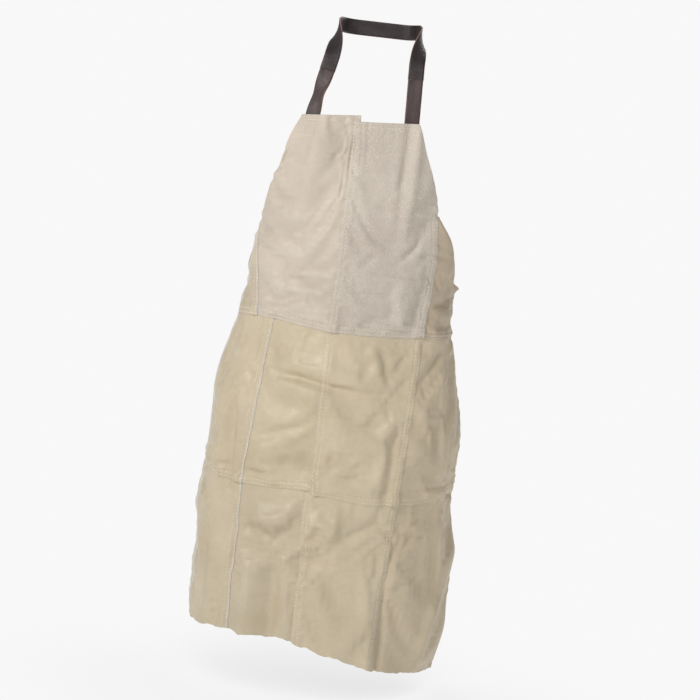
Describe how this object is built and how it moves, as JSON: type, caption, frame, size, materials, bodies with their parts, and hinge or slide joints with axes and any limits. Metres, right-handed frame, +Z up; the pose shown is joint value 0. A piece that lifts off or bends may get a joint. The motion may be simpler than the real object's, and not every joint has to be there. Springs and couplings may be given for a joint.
{
  "type": "welding apron",
  "caption": "Patchwork leather welding apron in its worn shape, with a neck strap and a waist strap closed by a roller buckle behind.",
  "frame": {"origin": "middle of the neck strap's inner face at the nape, the point the apron hangs from", "axes": "+Z up, front of the apron towards -Y, +X to the right of someone facing the apron"},
  "size_m": [0.4266, 0.2582, 1.0927],
  "materials": {
    "bib_hide": "pale stone chrome split hide, pebble grain, semi-matte",
    "skirt_hide": "pale straw chrome split hide, soft and matte",
    "strap_leather": "dark brown smooth strap leather, satin",
    "buckle_steel": "nickel-plated wire, satin"
  },
  "bodies": {
    "waist": {"left_side_gusset": "skirt_hide", "right_side_gusset": "skirt_hide"},
    "bib": {"bib_left_panel": "bib_hide", "bib_right_panel": "bib_hide", "neck_tab_left": "strap_leather", "neck_tab_right": "strap_leather"},
    "neck_loop": {"neck_strap": "strap_leather"},
    "skirt": {"middle_far_left_panel": "skirt_hide", "middle_centre_left_panel": "skirt_hide", "middle_centre_right_panel": "skirt_hide", "middle_far_right_panel": "skirt_hide"},
    "hem": {"lower_far_left_panel": "skirt_hide", "lower_centre_left_panel": "skirt_hide", "lower_centre_right_panel": "skirt_hide", "lower_far_right_panel": "skirt_hide"},
    "waist_strap": {"waist_strap_buckle_end": "strap_leather", "waist_strap_tip_end": "strap_leather", "buckle_frame": "buckle_steel"},
    "roller": {"buckle_roller": "buckle_steel"},
    "prong": {"buckle_prong": "buckle_steel"},
    "keeper": {"strap_keeper": "strap_leather"}
  },
  "joints": [
    {"name": "bib_fold", "type": "hinge", "parent": "waist", "child": "bib", "pos_m": [0, -0.1964, -0.39], "axis": [1, 0, 0], "range_deg": [0, 45]},
    {"name": "neck_fold", "type": "hinge", "parent": "bib", "child": "neck_loop", "pos_m": [0, -0.1533, -0.0662], "axis": [1, 0, 0], "range_deg": [-60, 150]},
    {"name": "skirt_swing", "type": "hinge", "parent": "waist", "child": "skirt", "pos_m": [0, -0.2, -0.501], "axis": [-1, 0, 0], "range_deg": [0, 40]},
    {"name": "hem_swing", "type": "hinge", "parent": "skirt", "child": "hem", "pos_m": [0, -0.219, -0.774], "axis": [-1, 0, 0], "range_deg": [0, 30]},
    {"name": "waist_strap_droop", "type": "hinge", "parent": "waist", "child": "waist_strap", "pos_m": [0, -0.072, -0.444], "axis": [1, 0, 0], "range_deg": [-60, 20]},
    {"name": "roller_spin", "type": "hinge", "parent": "waist_strap", "child": "roller", "pos_m": [-0.016, 0.032, -0.444], "axis": [0, 0, 1], "continuous": true},
    {"name": "prong_pivot", "type": "hinge", "parent": "waist_strap", "child": "prong", "pos_m": [0.006, 0.032, -0.444], "axis": [0, 0, -1], "range_deg": [0, 30]},
    {"name": "keeper_slide", "type": "slide", "parent": "waist_strap", "child": "keeper", "axis": [1, 0, 0], "range_m": [-0.002, 0.024]}
  ]
}
